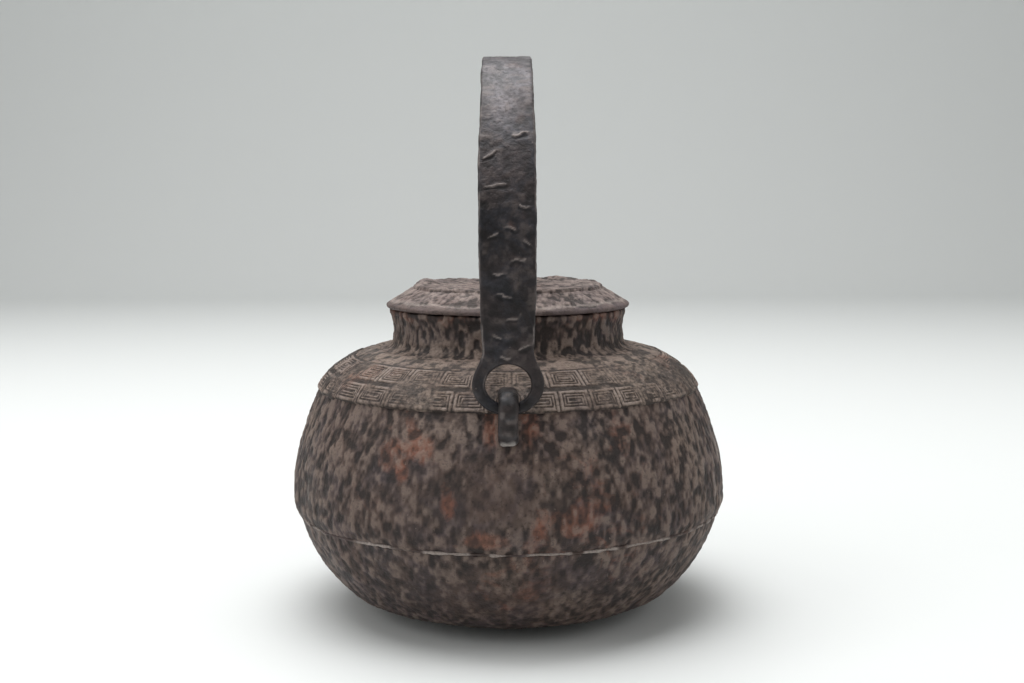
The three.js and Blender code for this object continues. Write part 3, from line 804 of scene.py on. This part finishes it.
def strapRough(places, normals):  # broad hammer marks, scale, and chips
    inEye = 1 - smoothStep(100, 112, places[:, 2])
    marks = layered(places, 13, 2, 147) * 0.32
    scale = np.clip(layered(places, 2.6, 3, 149) * 1.3, -1, 1)
    chips = chipMarks(places) * (1 - inEye)
    height = marks + scale * 0.14 * (1 - 0.6 * inEye) + chips * 0.32
    height *= np.where(inEye > 0.5, 0.5, 1)
    return height, np.clip(scale * 0.7 * (1 - 0.6 * inEye) + chips, -1, 1)


def strapPaint(places, normals, relief):
    s = strap
    x, y, z = places.T
    heights, widths = np.array(s["widths"]).T
    half = np.interp(z, heights, widths) / 2
    sideFacing = np.abs(normals[:, 0])
    bevelled = smoothStep(0.3, 0.6, sideFacing) * (sideFacing < 0.93)
    edge = smoothStep(1.1, 0.3, np.abs(np.abs(x) - half + 0.5)) * bevelled
    chips = smoothStep(0.45, 0.8, chipMarks(places))
    # Painted light: the top of the arch is lighter, partly dust and partly painted light from above. The
    # pale bluish patch on the near limb's front is a painted highlight of the top lamp.
    top = smoothStep(186, 205, z)
    paintedGlint = np.exp(-((x + 1) / 5) ** 2 - ((z - 193) / 8) ** 2) * (y < 0)
    dustAndSheen = 0.5 * top * (0.6 + layered(places, 8, 3, 151)) + 0.5 * paintedGlint
    rust = 0.7 * spots(x, z, s["rustSpots"]) * (y < 0)
    wornAndSheen = 0.55 * edge * smoothStep(-0.4, 0.3, noise(places, 5, 153)) + 0.65 * chips
    return {"wornAndSheen": np.clip(wornAndSheen, 0, 1), "dustAndSheen": np.clip(dustAndSheen, 0, 1), "rust": rust}


makeHandle()
print("handle ready")


# The loops that the eyes hang on: flattened rods bent to a C, their legs cast into the wall

loopRod = {
    "width": 6.9, "depth": 4.3, "corner": 2, "top": 93.35, "span": 14.8, "offset": 83.15, "bend": 4.6,
    "wallDepth": 14, "footShort": 4, "step": 0.35,
}


def makeLoop(name, node, side):
    s = loopRod
    bottom = s["top"] - s["span"]
    inner = s["offset"] - s["bend"]
    turn = np.linspace(math.pi / 2, 0, 24)
    legEnd = s["offset"] - s["wallDepth"]
    across, up = s["bend"] * np.cos(turn), s["bend"] * np.sin(turn)
    upper = np.stack([inner + across, s["top"] - s["bend"] + up], axis=1)
    lower = np.stack([inner + up, bottom + s["bend"] - across], axis=1)
    path = joined([(legEnd, s["top"])], upper, lower, [(legEnd + s["footShort"], bottom)])
    path = evenly(path, s["step"])
    section = roundedBox(s["width"], s["depth"], s["corner"], s["step"])
    grid = sweptGrid(path, np.repeat(section[None], len(path), axis=0))[:, ::-1] * np.array([side, side, 1])
    piece = meshPiece(name, grid, "vessel")

    def rough(places, normals):
        scale = np.clip(layered(places, 2.2, 2, 161) * 1.3, -1, 1)
        return layered(places, 6, 2, 163) * 0.25 + scale * 0.1, scale * 0.7

    def paint(places, normals, relief):
        outward = np.abs(places[:, 1])
        bare = smoothStep(0.5, -0.4, noise(places, 2.5, 165))
        top = smoothStep(0.5, 0.9, normals[:, 2]) * smoothStep(78, 82, outward) * bare
        rust = 0.6 * smoothStep(82, 77, places[:, 2]) * smoothStep(84.5, 81, outward)
        return {"wornAndSheen": 0.9 * top, "rust": rust}

    return weathered(piece, rough, paint, loopIron, "loop_iron", node)


makeLoop("rearLoop", "rear_loop", -1)
makeLoop("frontLoop", "front_loop", 1)
print("loops ready")


# The knob: a bud on a waisted foot, its petal seat, and the washer that its pin is peened over

knobShape = {
    "base": 130, "height": 16, "radius": 8.8, "foot": 5.2, "waist": 4.1, "pin": 2, "peen": 3.5,
    "peenTop": 122.2, "petals": 5, "tipRadius": 0.3, "step": 0.3, "columns": 160,
}
discShape = {"hole": 2.3, "edge": 0.3, "step": 0.25, "columns": 192}
discs = [
    {"name": "petalSeat", "node": "knob_petal_seat", "radius": 9.8, "bottom": 127.9, "thickness": 1.8,
     "petals": 8, "dome": 1.4},
    {"name": "innerWasher", "node": "knob_inner_washer", "radius": 7, "bottom": 122.5, "thickness": 1.3,
     "petals": 0, "dome": 0.4},
]


def bronzeRough(places, normals):
    grain = np.clip(layered(places, 1.3, 2, 171) * 1.3, -1, 1)
    return grain * 0.05 + layered(places, 5, 1, 173) * 0.08, grain * 0.6


def bronzePaint(places, normals, relief):
    return {"wornAndSheen": 0.3 * smoothStep(0.4, 0.9, normals[:, 2]) * smoothStep(0, 0.6, noise(places, 3, 175))}


def makeKnob():
    s = knobShape
    base, high, tip = s["base"], s["height"], s["tipRadius"]
    peenFoot, peenEdge = s["peenTop"] - 1.3, s["peen"] * 0.7
    outline = joined(
        [(tip, peenFoot), (peenEdge, peenFoot)],
        bend((peenEdge, peenFoot), 0, (s["peen"], s["peenTop"] - 0.5), 90, 8),
        [(s["peen"], s["peenTop"]), (s["pin"], s["peenTop"]), (s["pin"], base)],
        [(s["foot"], base), (s["foot"], base + 0.8)],
        bend((s["foot"], base + 1.1), 160, (s["waist"], base + high * 0.17), 90, 10),
        bend((s["waist"], base + high * 0.17), 90, (s["radius"], base + high * 0.55), 92, 30),
        bend((s["radius"], base + high * 0.55), 92, (tip, base + high), 178, 40),
    )
    grid = turnedGrid(evenly(outline, s["step"]), s["columns"])
    x, y, z = grid[..., 0], grid[..., 1], grid[..., 2]
    angle = np.arctan2(y, x) + 0.12 * (z - base)
    groove = np.abs(np.cos(angle * s["petals"] / 2)) ** 0.35
    bud = smoothStep(base + high * 0.3, base + high * 0.5, z)
    grid[..., :2] *= (1 - 0.07 * (1 - groove) * bud)[..., None]
    piece = meshPiece("knob", grid, "cover")
    return weathered(piece, bronzeRough, bronzePaint, bronze, "knob_bronze", "lid_knob")


def makeDisc(name, node, radius, bottom, thickness, petals, dome):
    s = discShape
    top, edge = bottom + thickness, radius - s["edge"]
    outline = joined(
        [(s["hole"], bottom), (edge, bottom)],
        bend((edge, bottom), 0, (radius, bottom + thickness * 0.4), 90, 5),
        bend((radius, bottom + thickness * 0.5), 95, (radius - dome, top), 175, 12),
        [(s["hole"], top)],
    )
    grid = turnedGrid(evenly(outline, s["step"]), s["columns"])
    angle = np.arctan2(grid[..., 1], grid[..., 0])
    far = smoothStep(radius * 0.45, radius, np.hypot(grid[..., 0], grid[..., 1]))
    if petals:
        grid[..., :2] *= (1 - 0.1 * far * (1 - np.abs(np.cos(angle * petals / 2))))[..., None]
    piece = meshPiece(name, grid, "cover", True)
    return weathered(piece, bronzeRough, bronzePaint, bronze, "knob_bronze", node)


makeKnob()
for disc in discs:
    makeDisc(**disc)
print("knob ready")


# Floor, light and camera. The floor and the lights are in metres and watts, the camera in millimetres.

studio = {
    "floor": "#dcdedd", "backdrop": "#e6e8e7", "worldStrength": 0.4,
    "floorReach": 3, "backDistance": 1.6, "sweep": 0.5, "wallTop": 3.5, "target": (0, 0, 0.1),
    "lights": [
        {"name": "softTop", "place": (-0.15, 0.15, 1.5), "size": (1.5, 1.5), "power": 30},
        {"name": "softLeft", "place": (-1.3, -0.6, 0.8), "size": (1, 1.2), "power": 7},
        {"name": "softRight", "place": (1.4, -0.4, 0.8), "size": (0.9, 1.2), "power": 4},
    ],
    "camera": {"distance": 539, "height": 162.5, "pitch": 6.19, "yaw": -0.17, "roll": -0.22, "lens": 47.85},
}


def makeFloor():  # a floor that sweeps up into the backdrop
    s = studio
    turn = np.linspace(0, math.pi / 2, 24)
    backEnd = s["backDistance"] + s["sweep"]
    depth = joined([-s["floorReach"], 0], s["backDistance"] + s["sweep"] * np.sin(turn), [backEnd])
    rise = joined([0, 0], s["sweep"] * (1 - np.cos(turn)), [s["wallTop"]])
    corners = [(x, y, z) for y, z in zip(depth, rise) for x in (-s["floorReach"], s["floorReach"])]
    faces = [(2 * i, 2 * i + 1, 2 * i + 3, 2 * i + 2) for i in range(len(depth) - 1)]
    mesh = bpy.data.meshes.new("floor")
    mesh.from_pydata(corners, [], faces)
    mesh.polygons.foreach_set("use_smooth", np.ones(len(faces), bool))
    mesh.update()
    floor = bpy.data.objects.new("floor", mesh)
    bpy.context.collection.objects.link(floor)
    material = bpy.data.materials.new("paleBackdrop")
    material.use_nodes = True
    shader = material.node_tree.nodes["Principled BSDF"]
    shader.inputs["Base Color"].default_value = linear(s["floor"])
    shader.inputs["Roughness"].default_value = 0.9
    shader.inputs["Specular IOR Level"].default_value = 0.1
    mesh.materials.append(material)


def makeWorld():
    world = bpy.data.worlds.new("studio")
    world.use_nodes = True
    background = world.node_tree.nodes["Background"]
    background.inputs["Color"].default_value = linear(studio["backdrop"])
    background.inputs["Strength"].default_value = studio["worldStrength"]
    bpy.context.scene.world = world


def areaLight(name, place, size, power):
    light = bpy.data.lights.new(name, "AREA")
    light.shape = "RECTANGLE"
    light.size, light.size_y = size
    light.energy = power
    lamp = bpy.data.objects.new(name, light)
    lamp.location = place
    aim = Vector(studio["target"]) - Vector(place)
    lamp.rotation_euler = aim.to_track_quat("-Z", "Y").to_euler()
    bpy.context.collection.objects.link(lamp)


def makeCamera():
    c = studio["camera"]
    camera = bpy.data.objects.new("camera", bpy.data.cameras.new("camera"))
    camera.data.lens = c["lens"]
    camera.data.sensor_width = 36
    yaw, pitch, roll = (math.radians(c[key]) for key in ("yaw", "pitch", "roll"))
    turn = Matrix.Rotation(yaw, 4, "Z") @ Matrix.Rotation(math.pi / 2 - pitch, 4, "X")
    turn = turn @ Matrix.Rotation(roll, 4, "Z")
    camera.matrix_world = Matrix.Translation((0, -c["distance"] * mm, c["height"] * mm)) @ turn
    camera.data.clip_start = 0.01
    bpy.context.collection.objects.link(camera)
    bpy.context.scene.camera = camera


makeFloor()
makeWorld()
for lamp in studio["lights"]:
    areaLight(**lamp)
makeCamera()
bpy.context.scene.view_settings.view_transform = "Standard"
print("studio ready")
